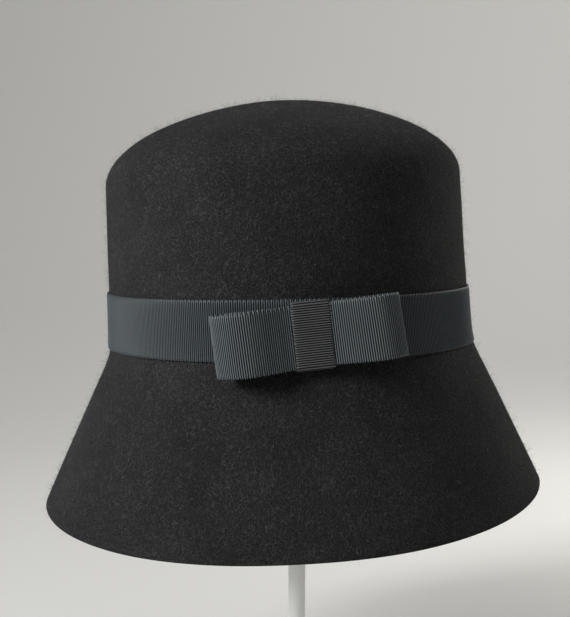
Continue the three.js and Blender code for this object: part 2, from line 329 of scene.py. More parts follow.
def feltMaterial():
    material, tree, shader = newMaterial("blackWoolFelt", Roughness=0.95, Specular_IOR_Level=0.1, Sheen_Weight=0.04,
                                         Sheen_Roughness=0.5, Sheen_Tint=(0.62, 0.6, 0.58, 1))
    place = addNode(tree, "ShaderNodeTexCoord").outputs["Object"]
    # matted fibres: streaks of noise, bent by a slower noise
    bend = addNode(tree, "ShaderNodeTexNoise", {"Vector": place, "Scale": 190.0, "Detail": 2.0}).outputs["Color"]
    bent = vectors(tree, "ADD", place, scaled(tree, vectors(tree, "SUBTRACT", bend, (0.5, 0.5, 0.5)), 9 * mm))
    matted = addNode(tree, "ShaderNodeTexVoronoi", {"Vector": bent, "Scale": 620.0}, feature="DISTANCE_TO_EDGE")
    strand = ramp(tree, matted.outputs["Distance"], 0.0, 0.16, 1.0, 0.0)
    nap = addGrain(tree, place, 24 * mm, 0.7 * mm, 0.2)
    tone = maths(tree, "MULTIPLY_ADD", strand, 0.16, nap.outputs["Tone"])
    colour = colourRamp(tree, tone, (0.3, feltLook["dark"]), (0.55, feltLook["mid"]), (0.8, feltLook["pale"]))
    tree.links.new(colour, shader.inputs["Base Color"])
    height = maths(tree, "MULTIPLY_ADD", strand, 0.5, nap.outputs["Height"])
    addBump(tree, shader, height, 0.5 * mm, 1.0)
    return material


def fibreMaterial(name, colour, spread):
    material, tree, shader = newMaterial(name, Roughness=0.7, Specular_IOR_Level=0.12)
    place = addNode(tree, "ShaderNodeTexCoord").outputs["Object"]
    tone = addGrain(tree, place, 6 * mm, 1.2 * mm, 0.5).outputs["Tone"]
    low, high = (tuple(c * k for c in colour) for k in (1 - spread, 1 + spread))
    tree.links.new(colourRamp(tree, tone, (0.35, low), (0.65, high)), shader.inputs["Base Color"])
    return material


# The ribs are in the mesh. This adds the threads that run the ribbon's length, painted shade
# in the grooves between ribs, a painted highlight on the rib crests, and a slow change of tone.
def ribbonMaterial(name, grooveShadeColour, crestHighlightColour, roughness):
    material, tree, shader = newMaterial(name, Roughness=roughness, Specular_IOR_Level=0.3)
    place = addNode(tree, "ShaderNodeTexCoord").outputs["Object"]
    rib = addNode(tree, "ShaderNodeAttribute", attribute_name="ribPhase").outputs["Fac"]
    across = addNode(tree, "ShaderNodeAttribute", attribute_name="acrossPlace").outputs["Fac"]
    # rib tops lighter and grooves darker in colour: painted highlight and painted shade
    crestHighlightWeight = maths(tree, "ABSOLUTE", maths(tree, "SINE", maths(tree, "MULTIPLY", rib, math.pi)))
    tone = addGrain(tree, place, 9 * mm, 0.5 * mm, 0.4).outputs["Tone"]
    thread = maths(tree, "SINE", maths(tree, "MULTIPLY", across, 2 * math.pi / (0.21 * mm)))
    stagger = maths(tree, "SINE", maths(tree, "MULTIPLY", rib, 2 * math.pi))
    weave = maths(tree, "MULTIPLY_ADD", maths(tree, "MULTIPLY", thread, stagger), 0.5, 0.5)
    shade = maths(tree, "MULTIPLY_ADD", tone, 0.3, maths(tree, "POWER", crestHighlightWeight, 4.0))
    shade = maths(tree, "MULTIPLY_ADD", weave, 0.08, shade)
    # colour runs from the painted groove shade to the painted crest highlight
    tree.links.new(colourRamp(tree, shade, (0.25, grooveShadeColour), (1.15 / 1.2, crestHighlightColour)), shader.inputs["Base Color"])
    addBump(tree, shader, weave, 0.05 * mm, 0.5)
    return material


def paintMaterial():
    material, tree, shader = newMaterial("whitePaint", Roughness=0.42, Specular_IOR_Level=0.5)
    place = addNode(tree, "ShaderNodeTexCoord").outputs["Object"]
    coat = addGrain(tree, place, 35 * mm, 1.4 * mm, 0.6)
    tree.links.new(colourRamp(tree, coat.outputs["Tone"], (0.3, (0.86, 0.855, 0.83)), (0.7, (0.92, 0.915, 0.89))),
                   shader.inputs["Base Color"])
    tree.links.new(ramp(tree, coat.outputs["Tone"], 0.3, 0.7, 0.36, 0.5), shader.inputs["Roughness"])
    addBump(tree, shader, coat.outputs["Height"], 0.03 * mm, 0.5)
    return material


blackFelt = feltMaterial()
darkFibre = fibreMaterial("darkFibre", (0.009, 0.009, 0.0095), 0.3)
paleFibre = fibreMaterial("paleFibre", (0.17, 0.162, 0.15), 0.6)
# one slate ribbon as three copies with different crest and groove brightness for the band, the bow and the knot: lit
# and shaded copies, painted light
bandRibbon = ribbonMaterial("slateRibbon", (0.004, 0.006, 0.007), (0.060, 0.075, 0.082), 0.4)
bowRibbon = ribbonMaterial("slateBowRibbon", (0.0, 0.0, 0.0), (0.12, 0.143, 0.152), 0.4)
knotRibbon = ribbonMaterial("slateKnotRibbon", (0.0, 0.0, 0.0), (0.105, 0.107, 0.109), 0.42)
whitePaint = paintMaterial()
print("materials made")

# ---- the felt

felt = {
    "Wall Height": 76.5 * mm,  # straight wall, from the foot of the crown to the shoulder
    "Dome Height": 37.5 * mm,
    "Dome Point": 1.2,
    "Wall Rings": 78,
    "Dome Rings": 46,
    "Columns": 168,
    "Unevenness": 0.45 * mm,
    "Unevenness Size": 45 * mm,
    "Seed": 4.0,
    "Thickness": 2.5 * mm,
    "Edge Rounding": 0.55 * mm,
}


# The crown and the brim: rings of the wall, then rings of the dome up to its tip.
def feltShellTree():
    wholes = ("Wall Rings", "Dome Rings", "Columns")
    tree = newTree("feltShell", [
        ("Geometry", geometryKind, None),
        *[(label, wholeKind if label in wholes else floatKind, value) for label, value in felt.items()
          if label not in ("Thickness", "Edge Rounding")],
        *shapeInputs(),
        *poseInputs,
        ("Material", materialKind, None),
    ], [("Geometry", geometryKind)])
    tree.is_modifier = True
    size = lambda label: treeInput(tree, label)
    m = lambda *parts: maths(tree, *parts)
    rings = m("ADD", m("ADD", size("Wall Rings"), size("Dome Rings")), 1.0)
    grid = addNode(tree, "GeometryNodeMeshGrid", {
        "Size X": 1.0, "Size Y": rings, "Vertices X": m("ADD", size("Columns"), 1.0), "Vertices Y": rings,
    })
    place = addNode(tree, "ShaderNodeSeparateXYZ", {0: addNode(tree, "GeometryNodeInputPosition").outputs[0]})
    angle = m("MULTIPLY", m("ADD", place.outputs["X"], 0.5), math.tau)
    ring = m("MULTIPLY", m("DIVIDE", m("ADD", place.outputs["Y"], m("DIVIDE", rings, 2.0)), rings),
             m("SUBTRACT", rings, 1.0))
    wallTop = m("ADD", size("Brim Height"), size("Wall Height"))
    height = m("MULTIPLY", m("MINIMUM", m("DIVIDE", ring, size("Wall Rings")), 1.0), wallTop)
    wall = wallAt(tree, angle, height)
    over = m("MAXIMUM", m("SUBTRACT", ring, size("Wall Rings")), 0.0)
    turn = m("MULTIPLY", m("DIVIDE", over, size("Dome Rings")), math.pi / 2)
    reach = m("POWER", m("MAXIMUM", m("COSINE", turn), 0.0), size("Dome Point"))
    domed = addNode(tree, "ShaderNodeCombineXYZ", {"X": reach, "Y": reach, "Z": 1.0}).outputs["Vector"]
    raised = addNode(tree, "ShaderNodeCombineXYZ", {"Z": m("MULTIPLY", size("Dome Height"), m("SINE", turn))})
    point = vectors(tree, "MULTIPLY_ADD", wall.outputs["Position"], domed, raised.outputs["Vector"])
    shaped = addNode(tree, "GeometryNodeSetPosition", {"Geometry": grid.outputs["Mesh"], "Position": point})
    closed = addNode(tree, "GeometryNodeMergeByDistance", {"Geometry": shaped.outputs[0], "Distance": 0.02 * mm})
    # the slow unevenness of blocked felt, pressed flat under the band
    noise = addNode(tree, "ShaderNodeTexNoise", {"W": size("Seed"), "Scale": m("DIVIDE", 1.0, size("Unevenness Size")),
                                                 "Detail": 2.0}, noise_dimensions="4D")
    tree.links.new(addNode(tree, "GeometryNodeInputPosition").outputs[0], noise.inputs["Vector"])
    level = addNode(tree, "ShaderNodeSeparateXYZ", {0: addNode(tree, "GeometryNodeInputPosition").outputs[0]})
    bandMiddle, pressedTo, looseFrom = 13 * mm, 12 * mm, 34 * mm
    fromBand = m("ABSOLUTE", m("SUBTRACT", level.outputs["Z"], m("ADD", size("Brim Height"), bandMiddle)))
    loose = ramp(tree, fromBand, pressedTo, looseFrom)
    swell = m("MULTIPLY", m("MULTIPLY", m("SUBTRACT", noise.outputs["Fac"], 0.5), 2.0),
              m("MULTIPLY", size("Unevenness"), loose))
    normal = addNode(tree, "GeometryNodeInputNormal").outputs[0]
    uneven = addNode(tree, "GeometryNodeSetPosition", {"Geometry": closed.outputs[0],
                                                       "Offset": scaled(tree, normal, swell)})
    finishTree(tree, seated(tree, uneven.outputs[0]))
    return tree


def makeFelt():
    tree = feltShellTree()
    values = {**felt, **hatShape, "Lift": hatPose["lift"], "Lean": hatPose["lean"], "Material": blackFelt}
    outside = meshObject("feltOutside", bpy.data.meshes.new("feltOutside"))
    addTree(outside, tree, values)
    outside = settle(outside, "feltOutside")  # kept until the fibres have grown on it
    shell = meshObject("feltBody", outside.data.copy())
    wall = shell.modifiers.new("wall", "SOLIDIFY")
    wall.thickness, wall.offset, wall.use_even_offset = felt["Thickness"], -1, True
    rounding = shell.modifiers.new("rounding", "BEVEL")
    rounding.width, rounding.segments = felt["Edge Rounding"], 3
    rounding.limit_method, rounding.angle_limit = "ANGLE", math.radians(60)
    shell = settle(shell, "feltBody")
    return outside, shell


feltOutside, feltBody = makeFelt()
report(feltBody)

# ---- loose fibres on the felt

fibreKinds = {
    "feltNap": {"Density": 72000.0, "Length": 1.7 * mm, "Radius": 0.02 * mm, "Curl": 0.4, "Lift": 0.30,
                "Lift Spread": 0.25, "Seed": 11, "Material": darkFibre},
    "feltStrays": {"Density": 60000.0, "Length": 3.2 * mm, "Radius": 0.018 * mm, "Curl": 0.6, "Lift": 0.75,
                   "Lift Spread": 0.5, "Seed": 23, "Material": darkFibre},
    "feltFlecks": {"Density": 66000.0, "Length": 2.3 * mm, "Radius": 0.021 * mm, "Curl": 0.55, "Lift": 0.16,
                   "Lift Spread": 0.14, "Seed": 37, "Material": paleFibre},
}


# Bent fibres on the faces of a mesh, each a thin three-sided tube, at random turns and lengths.
def fibresTree():
    kinds = {"Seed": wholeKind, "Material": materialKind}
    first = next(iter(fibreKinds.values()))
    tree = newTree("feltFibres", [
        ("Geometry", geometryKind, None),
        *[(label, kinds.get(label, floatKind), None if label == "Material" else value)
          for label, value in first.items()],
    ], [("Geometry", geometryKind)])
    tree.is_modifier = True
    size = lambda label: treeInput(tree, label)
    m = lambda *parts: maths(tree, *parts)

    def chance(low, high, step):
        node = addNode(tree, "FunctionNodeRandomValue", {2: low, 3: high, "Seed": m("ADD", size("Seed"), float(step))},
                       data_type="FLOAT")
        return node.outputs[1]

    length = size("Length")
    shapes = addNode(tree, "GeometryNodeJoinGeometry")
    for side, peak in ((1.0, 0.35), (-0.7, 0.6), (0.35, 0.5)):
        sideways = m("MULTIPLY", m("MULTIPLY", size("Curl"), length), side)
        middle = addNode(tree, "ShaderNodeCombineXYZ", {"X": m("MULTIPLY", length, peak), "Y": sideways})
        end = addNode(tree, "ShaderNodeCombineXYZ", {"X": length, "Y": m("MULTIPLY", sideways, 0.2)})
        curve = addNode(tree, "GeometryNodeCurveQuadraticBezier", {"Resolution": 2, "Start": (0, 0, 0),
                                                                   "Middle": middle.outputs[0], "End": end.outputs[0]})
        ring = addNode(tree, "GeometryNodeCurvePrimitiveCircle", {"Resolution": 3, "Radius": size("Radius")})
        tube = addNode(tree, "GeometryNodeCurveToMesh", {"Curve": curve.outputs[0], "Profile Curve": ring.outputs[0],
                                                         "Fill Caps": True})
        one = addNode(tree, "GeometryNodeGeometryToInstance", {"Geometry": tube.outputs[0]})
        tree.links.new(one.outputs[0], shapes.inputs[0])
    points = addNode(tree, "GeometryNodeDistributePointsOnFaces", {"Mesh": size("Geometry"),
                                                                   "Density": size("Density"), "Seed": size("Seed")})
    spin = addNode(tree, "FunctionNodeEulerToRotation",
                   {0: addNode(tree, "ShaderNodeCombineXYZ", {"Z": chance(0.0, math.tau, 1)}).outputs[0]})
    low = m("SUBTRACT", size("Lift"), size("Lift Spread"))
    high = m("ADD", size("Lift"), size("Lift Spread"))
    tip = addNode(tree, "FunctionNodeEulerToRotation", {
        0: addNode(tree, "ShaderNodeCombineXYZ", {"X": chance(-0.6, 0.6, 4),
                                                  "Y": m("MULTIPLY", chance(low, high, 2), -1.0)}).outputs[0]})
    turned = addNode(tree, "FunctionNodeRotateRotation", {"Rotation": points.outputs["Rotation"],
                                                          "Rotate By": spin.outputs[0]}, rotation_space="LOCAL")
    raised = addNode(tree, "FunctionNodeRotateRotation", {"Rotation": turned.outputs[0], "Rotate By": tip.outputs[0]},
                     rotation_space="LOCAL")
    stretch = addNode(tree, "ShaderNodeCombineXYZ", {"X": chance(0.45, 1.35, 3), "Y": 1.0, "Z": 1.0})
    fibres = addNode(tree, "GeometryNodeInstanceOnPoints", {
        "Points": points.outputs["Points"], "Instance": shapes.outputs[0], "Pick Instance": True,
        "Rotation": raised.outputs[0], "Scale": stretch.outputs[0]})
    finishTree(tree, fibres.outputs[0])
    return tree


def makeFibres():
    tree = fibresTree()
    made = []
    for name, values in fibreKinds.items():
        obj = meshObject(name, feltOutside.data.copy())
        addTree(obj, tree, values)
        obj = settle(obj, name)
        report(obj)
        made.append(obj)
    return made


fibres = makeFibres()
bpy.data.objects.remove(feltOutside)

# ---- the ribbons

# Each strip of ribbon is a closed ring with three attributes: ribPhase counts the ribs along it,
# acrossPlace is the distance from its middle, and acrossWay points across it.

ribs = {
    "Pitch": 0.94 * mm,
    "Samples": 6,
    "Rows": 11,
    "Thickness": 0.16 * mm,
    "Rib Height": 0.4 * mm,
    "Rib Roundness": 1.1,
    "Selvedge": 1.3 * mm,  # how far in from an edge the hairpins between ribs reach
    "Scallop": 0.5 * mm,
}


# Sweeps rows across the ribbon along a curve, with the rows closest together at the edges.
def sweepRows(tree, curve, width, rows):
    m = lambda *parts: maths(tree, *parts)
    line = addNode(tree, "GeometryNodeCurvePrimitiveLine", {"Start": (-1, 0, 0), "End": (1, 0, 0)})
    dotted = addNode(tree, "GeometryNodeResampleCurve", {"Curve": line.outputs[0], "Count": rows})
    x = addNode(tree, "ShaderNodeSeparateXYZ", {0: addNode(tree, "GeometryNodeInputPosition").outputs[0]}).outputs["X"]
    near = m("SUBTRACT", 1.0, m("POWER", m("SUBTRACT", 1.0, m("ABSOLUTE", x)), 2.4))
    place = m("MULTIPLY", m("MULTIPLY", near, m("SIGN", x)), m("MULTIPLY", width, 0.5))
    profile = store(tree, dotted.outputs[0], "acrossPlace", place)
    return addNode(tree, "GeometryNodeCurveToMesh", {"Curve": curve, "Profile Curve": profile}).outputs[0]


# Spreads a curve's points evenly, a whole number of ribs long, and counts the ribs.
def countRibs(tree, curve):
    m = lambda *parts: maths(tree, *parts)
    length = addNode(tree, "GeometryNodeCurveLength", {"Curve": curve}).outputs[0]
    ribCount = m("MULTIPLY", m("ROUND", m("DIVIDE", m("DIVIDE", length, treeInput(tree, "Pitch")), 2.0)), 2.0)
    count = m("MULTIPLY", ribCount, treeInput(tree, "Samples"))
    even = addNode(tree, "GeometryNodeResampleCurve", {"Curve": curve, "Count": count})
    index = addNode(tree, "GeometryNodeInputIndex").outputs[0]
    return store(tree, even.outputs[0], "ribPhase", m("DIVIDE", index, treeInput(tree, "Samples")))


sweepInputs = [("Width", floatKind, 25.4 * mm), ("Pitch", floatKind, ribs["Pitch"]),
               ("Samples", wholeKind, ribs["Samples"]), ("Rows", wholeKind, ribs["Rows"])]

band = {"Width": 25.4 * mm, "Band Lift": 1 * mm, "Tilt": math.radians(1.55), "Off Felt": 0.6 * mm, "Samples": 6}


# The strip that hugs the foot of the crown.
def bandStripTree():
    tree = newTree("bandStrip", [
        ("Geometry", geometryKind, None), *sweepInputs,
        *[(label, floatKind, band[label]) for label in ("Band Lift", "Tilt", "Off Felt")],
        *shapeInputs(), *poseInputs,
    ], [("Geometry", geometryKind)])
    tree.is_modifier = True
    size = lambda label: treeInput(tree, label)
    m = lambda *parts: maths(tree, *parts)
    position = lambda: addNode(tree, "GeometryNodeInputPosition").outputs[0]
    middle = m("ADD", m("ADD", size("Brim Height"), size("Band Lift")), m("DIVIDE", size("Width"), 2.0))

    def planAngle():
        parts = addNode(tree, "ShaderNodeSeparateXYZ", {0: position()})
        return m("ARCTAN2", parts.outputs["Y"], parts.outputs["X"])

    circle = addNode(tree, "GeometryNodeCurvePrimitiveCircle", {"Resolution": 720, "Radius": 1.0})
    oval = addNode(tree, "GeometryNodeSetPosition", {
        "Geometry": circle.outputs[0], "Position": wallAt(tree, planAngle(), middle).outputs["Position"]})
    counted = countRibs(tree, oval.outputs[0])
    angled = store(tree, counted, "planAngle", planAngle())
    strip = sweepRows(tree, angled, size("Width"), size("Rows"))

    angle, across = attribute(tree, "planAngle"), attribute(tree, "acrossPlace")
    there = addNode(tree, "ShaderNodeSeparateXYZ", {0: wallAt(tree, angle, middle).outputs["Position"]})
    level = m("ADD", m("ADD", middle, across),
              m("MULTIPLY", m("MULTIPLY", m("TANGENT", size("Tilt")), there.outputs["X"]), -1.0))
    wall = lambda turn, rise: wallAt(tree, m("ADD", angle, turn), m("ADD", level, rise)).outputs["Position"]
    along = vectors(tree, "SUBTRACT", wall(1e-3, 0.0), wall(-1e-3, 0.0))
    upward = vectors(tree, "SUBTRACT", wall(0.0, 0.5 * mm), wall(0.0, -0.5 * mm))
    outward = vectors(tree, "NORMALIZE", vectors(tree, "CROSS_PRODUCT", along, upward))
    point = vectors(tree, "ADD", wall(0.0, 0.0), scaled(tree, outward, size("Off Felt")))
    placed = addNode(tree, "GeometryNodeSetPosition", {"Geometry": strip, "Position": point}).outputs[0]
    placed = store(tree, placed, "acrossWay", vectors(tree, "NORMALIZE", upward), "FLOAT_VECTOR")
    placed = store(tree, placed, "faceWay", outward, "FLOAT_VECTOR")
    lean = addNode(tree, "ShaderNodeCombineXYZ", {"Y": size("Lean")}).outputs[0]
    treeOutput(tree, "Geometry", seated(tree, turnWays(tree, placed, lean)))
    return tree


# Turns the stored directions with the strip.
def turnWays(tree, geometry, euler):
    for name in ("acrossWay", "faceWay"):
        turned = addNode(tree, "ShaderNodeVectorRotate", {"Vector": attribute(tree, name, "FLOAT_VECTOR"),
                                                          "Rotation": euler}, rotation_type="EULER_XYZ")
        geometry = store(tree, geometry, name, turned.outputs[0], "FLOAT_VECTOR")
    return geometry


# The strip of the bow or its knot, from a closed outline in the plane of X and Y. The ribbon lies
# across Z, then the whole is turned and moved to its seat.
def bowStripTree():
    tree = newTree("bowStrip", [
        ("Geometry", geometryKind, None), *sweepInputs,
        ("Left Skew", floatKind, 0.0), ("Right Skew", floatKind, 0.0), ("Skew Reach", floatKind, 30 * mm),
        ("Turn", vectorKind, None), ("Seat", vectorKind, None),
    ], [("Geometry", geometryKind)])
    tree.is_modifier = True
    size = lambda label: treeInput(tree, label)
    m = lambda *parts: maths(tree, *parts)
    outline = addNode(tree, "GeometryNodeMeshToCurve", {"Mesh": size("Geometry")}).outputs[0]
    strip = sweepRows(tree, countRibs(tree, outline), size("Width"), size("Rows"))
    # the sweep's own frame may roll, so each row is put back on its outline point
    strip = store(tree, strip, "outlinePlace", attribute(tree, "outlinePlace", "FLOAT_VECTOR"), "FLOAT_VECTOR")
    place = addNode(tree, "ShaderNodeSeparateXYZ", {0: attribute(tree, "outlinePlace", "FLOAT_VECTOR")})
    across = attribute(tree, "acrossPlace")
    leftReach = m("MULTIPLY", size("Skew Reach"), -1.0)
    left = m("MULTIPLY", ramp(tree, place.outputs["X"], 0.0, leftReach), size("Left Skew"))
    right = m("MULTIPLY", ramp(tree, place.outputs["X"], 0.0, size("Skew Reach")), size("Right Skew"))
    x = m("MULTIPLY_ADD", m("ADD", left, right), across, place.outputs["X"])
    point = addNode(tree, "ShaderNodeCombineXYZ", {"X": x, "Y": place.outputs["Y"], "Z": across})
    placed = addNode(tree, "GeometryNodeSetPosition", {"Geometry": strip, "Position": point.outputs[0]}).outputs[0]
    placed = store(tree, placed, "acrossWay", (0.0, 0.0, 1.0), "FLOAT_VECTOR")
    placed = store(tree, placed, "faceWay", attribute(tree, "outlineWay", "FLOAT_VECTOR"), "FLOAT_VECTOR")
    placed = turnWays(tree, placed, size("Turn"))
    moved = addNode(tree, "GeometryNodeTransform", {"Geometry": placed, "Translation": size("Seat"),
                                                    "Rotation": size("Turn")})
    treeOutput(tree, "Geometry", moved.outputs[0])
    return tree


bow = {
    "Width": 25.4 * mm,
    "Samples": 8,
    "tilt": math.radians(-4.3),  # its left loop hangs lower
    "across": math.radians(6.8),  # turned with the band's curve
    "forward": 1.9 * mm,  # from the back of the CAD knot to the outlines' zero
    "steps": 12,  # between two points of the outline
    "Left Skew": -0.012,
    "Right Skew": -0.045,
    # outline seen from above: along the band and out from it
    "outline": [
        {"along": -34.0, "out": -4.0},  # left loop's back
        {"along": -25.0, "out": -1.2},
        {"along": -8.2, "out": 1.7},
        {"along": 0.0, "out": 2.0},  # back layer, under the knot
        {"along": 8.2, "out": 1.9},
        {"along": 25.0, "out": 1.8},
        {"along": 34.0, "out": 2.6},
        {"along": 35.9, "out": 4.0},  # right fold
        {"along": 34.4, "out": 6.6},
        {"along": 30.5, "out": 9.8},
        {"along": 25.5, "out": 11.0},
        {"along": 19.5, "out": 9.2},
        {"along": 13.5, "out": 6.4},
        {"along": 8.2, "out": 3.9},
        {"along": 0.0, "out": 3.3},  # front layer, under the knot
        {"along": -8.2, "out": 3.7},
        {"along": -15.0, "out": 6.0},
        {"along": -21.5, "out": 8.4},
        {"along": -26.5, "out": 9.4},
        {"along": -31.5, "out": 7.9},
        {"along": -36.0, "out": 4.4},
        {"along": -38.6, "out": 0.6},
        {"along": -38.6, "out": -2.2},  # left fold
    ],
}

knot = {
    "Width": 15.5 * mm,
    "Samples": 8,
    "tilt": math.radians(-2.9),
    "inner half height": 13.25 * mm,
    "back": 0.9 * mm,
    "front": 4.25 * mm,
    "corner": 1.1 * mm,
}


# A smooth closed curve through points, as the same number of steps between each pair.
def closedCurve(points, steps):
    made = []
    count = len(points)
    for i in range(count):
        a, b, c, d = (points[(i + k - 1) % count] for k in range(4))
        ends = [(b - a).length ** 0.5, (c - b).length ** 0.5, (d - c).length ** 0.5]
        tangentB = ((b - a) / ends[0] - (c - a) / (ends[0] + ends[1]) + (c - b) / ends[1]) * ends[1]
        tangentC = ((c - b) / ends[1] - (d - b) / (ends[1] + ends[2]) + (d - c) / ends[2]) * ends[1]
        for k in range(steps):
            t = k / steps
            made.append(b * (2 * t**3 - 3 * t**2 + 1) + tangentB * (t**3 - 2 * t**2 + t)
                        + c * (3 * t**2 - 2 * t**3) + tangentC * (t**3 - t**2))
    return made


# The edges of a closed outline in the plane of X and Y, with each point's place and its outward way.
def outlineMesh(name, points):
    mesh = bpy.data.meshes.new(name)
    count = len(points)
    mesh.from_pydata(points, [(i, (i + 1) % count) for i in range(count)], [])
    ways = []
    for i in range(count):
        along = (points[(i + 1) % count] - points[i - 1]).normalized()
        ways.append(Vector((along.y, -along.x, 0)))
    for label, values in (("outlinePlace", points), ("outlineWay", ways)):
        data = mesh.attributes.new(label, "FLOAT_VECTOR", "POINT").data
        data.foreach_set("vector", [c for v in values for c in v])
    return mesh


# Gives a strip its ribs on both faces, its hairpin edges and its thickness.
def grosgrainTree():
    wholes = ("Samples", "Rows")
    tree = newTree("grosgrain", [
        ("Geometry", geometryKind, None),
        ("Width", floatKind, 25.4 * mm),
        *[(label, floatKind, value) for label, value in ribs.items() if label not in wholes + ("Pitch",)],
        ("Material", materialKind, None),
    ], [("Geometry", geometryKind)])
    tree.is_modifier = True
    size = lambda label: treeInput(tree, label)
    m = lambda *parts: maths(tree, *parts)
    phase, across = attribute(tree, "ribPhase"), attribute(tree, "acrossPlace")
    face, way = attribute(tree, "faceWay", "FLOAT_VECTOR"), attribute(tree, "acrossWay", "FLOAT_VECTOR")
    half = m("DIVIDE", size("Width"), 2.0)
    share = m("DIVIDE", m("ABSOLUTE", across), half)
    nearEdge = ramp(tree, m("SUBTRACT", half, m("ABSOLUTE", across)), size("Selvedge"), 0.0)
    arch = lambda turns: m("POWER", m("ABSOLUTE", m("SINE", m("MULTIPLY", turns, math.pi))), size("Rib Roundness"))
    single = arch(phase)
    # neighbouring ribs join at one edge, and each joins its other neighbour at the other edge
    shift = m("GREATER_THAN", across, 0.0)
    paired = arch(m("DIVIDE", m("ADD", phase, shift), 2.0))
    blend = addNode(tree, "ShaderNodeMix", {"Factor": nearEdge, "A": single, "B": paired}).outputs["Result"]
    closing = m("SQRT", m("MAXIMUM", m("SUBTRACT", 1.0, m("POWER", share, 40.0)), 0.0))
    rise = m("MULTIPLY", m("MULTIPLY_ADD", blend, size("Rib Height"), m("DIVIDE", size("Thickness"), 2.0)), closing)
    outwards = m("MULTIPLY", m("MULTIPLY", m("SUBTRACT", paired, 0.75), size("Scallop")),
                 m("MULTIPLY", nearEdge, m("SIGN", across)))
    edge = scaled(tree, way, outwards)
    both = addNode(tree, "GeometryNodeJoinGeometry")
    for side in (1.0, -1.0):
        offset = vectors(tree, "ADD", edge, scaled(tree, face, m("MULTIPLY", rise, side)))
        moved = addNode(tree, "GeometryNodeSetPosition", {"Geometry": size("Geometry"), "Offset": offset}).outputs[0]
        if side < 0:
            moved = addNode(tree, "GeometryNodeFlipFaces", {"Mesh": moved}).outputs[0]
        tree.links.new(moved, both.inputs[0])
    welded = addNode(tree, "GeometryNodeMergeByDistance", {"Geometry": both.outputs[0], "Distance": 0.002 * mm})
    finishTree(tree, welded.outputs[0])
    return tree


grosgrain = grosgrainTree()


# Whether the faces of a closed mesh look outwards, from the sign of its volume.
def faceOut(obj):
    work = bmesh.new()
    work.from_mesh(obj.data)
    if work.calc_volume(signed=True) < 0:
        bmesh.ops.reverse_faces(work, faces=work.faces)
        work.to_mesh(obj.data)
    work.free()


def ribbonPiece(name, obj, stripTree, values, material):
    addTree(obj, stripTree, {**ribs, **values})
    addTree(obj, grosgrain, {**ribs, **values, "Material": material})
    obj = settle(obj, name)
    faceOut(obj)
    report(obj)
    return obj


def makeBand():
    values = {**hatShape, **band, "Lift": hatPose["lift"], "Lean": hatPose["lean"]}
    start = meshObject("bandStart", bpy.data.meshes.new("bandStart"))
    return ribbonPiece("ribbonBand", start, bandStripTree(), values, bandRibbon)


def bowSeat(tilt):
    low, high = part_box("bow_knot")
    middle = (Vector(low) + Vector(high)) / 2
    depth = Vector(high) - Vector(low)
    lean, across = Matrix.Rotation(hatPose["lean"], 3, "Y"), Matrix.Rotation(bow["across"], 3, "Z")
    turn = lean @ across @ Matrix.Rotation(tilt, 3, "Y")
    return middle + Vector((0, depth.y * 0.5 - bow["forward"], 0)), turn.to_euler("XYZ")


def makeBow():
    strip = bowStripTree()
    made = []
    outline = closedCurve([Vector((row["along"], -row["out"], 0)) * mm for row in bow["outline"]], bow["steps"])
    seat, turn = bowSeat(bow["tilt"])
    start = meshObject("bowStart", outlineMesh("bowStart", outline))
    values = {**bow, "Turn": tuple(turn), "Seat": tuple(seat)}
    made.append(ribbonPiece("bowLoops", start, strip, values, bowRibbon))

    # the knot goes round the loops, with its ribbon lying along them
    high, back, front, corner = (knot[k] for k in ("inner half height", "back", "front", "corner"))
    corners = [(-high, back, math.pi), (high, back, 1.5 * math.pi), (high, front, 0.0), (-high, front, 0.5 * math.pi)]
    outline = []
    for up, out, start in corners:
        centre = Vector((up - math.copysign(corner, up), out + (corner if out == back else -corner), 0))
        turns = [start + k * math.pi / 12 for k in range(7)]
        outline += [centre + corner * Vector((math.cos(turn), math.sin(turn), 0)) for turn in turns]
    seat, turn = bowSeat(knot["tilt"])
    # up and out in the outline's plane become Z and -Y, and the ribbon's width runs along X
    stand = turn.to_matrix() @ Matrix(((0, 0, 1), (0, -1, 0), (1, 0, 0)))
    start = meshObject("knotStart", outlineMesh("knotStart", outline))
    values = {**knot, "Turn": tuple(stand.to_euler("XYZ")), "Seat": tuple(seat)}
    made.append(ribbonPiece("bowKnot", start, strip, values, knotRibbon))
    return made


ribbonBand = makeBand()
bowLoops, bowKnot = makeBow()

# ---- the stand

standShape = {
    "base": {"radius": 85, "thickness": 6, "rounding": 2, "collar": 11, "collarTop": 14, "floor": 4},
    "post": {"radius": 4.1, "clearance": 0.3},
    "cap": {"radius": 42, "dome": 95, "rim": 5, "neck": 11, "neckLength": 5},
    "segments": 96,
}


def quarter(radius, height, size, start, end, steps):
    turns = [start + (end - start) * k / steps for k in range(steps + 1)]
    return [(radius + size * math.cos(t), height + size * math.sin(t)) for t in turns]


# Turns a profile of (radius, height), in millimetres, that runs from the axis back to the axis.
def turned(name, profile):
    count = standShape["segments"]
    work = bmesh.new()
    rings = []
    for radius, height in profile:
        if radius == 0:
            rings.append([work.verts.new((0, 0, height * mm))])
        else:
            rings.append([work.verts.new((radius * mm * math.cos(math.tau * i / count),
                                          radius * mm * math.sin(math.tau * i / count), height * mm))
                          for i in range(count)])
    for low, high in zip(rings, rings[1:]):
        for i in range(count):
            corners = [low[i % len(low)], low[(i + 1) % len(low)], high[(i + 1) % len(high)], high[i % len(high)]]
            work.faces.new(list(dict.fromkeys(corners)))
    bmesh.ops.recalc_face_normals(work, faces=work.faces)
    mesh = bpy.data.meshes.new(name)
    work.to_mesh(mesh)
    work.free()
    mesh.materials.append(whitePaint)
    mesh.shade_smooth()
    mesh.set_sharp_from_angle(angle=math.radians(50))
    return meshObject(name, mesh)


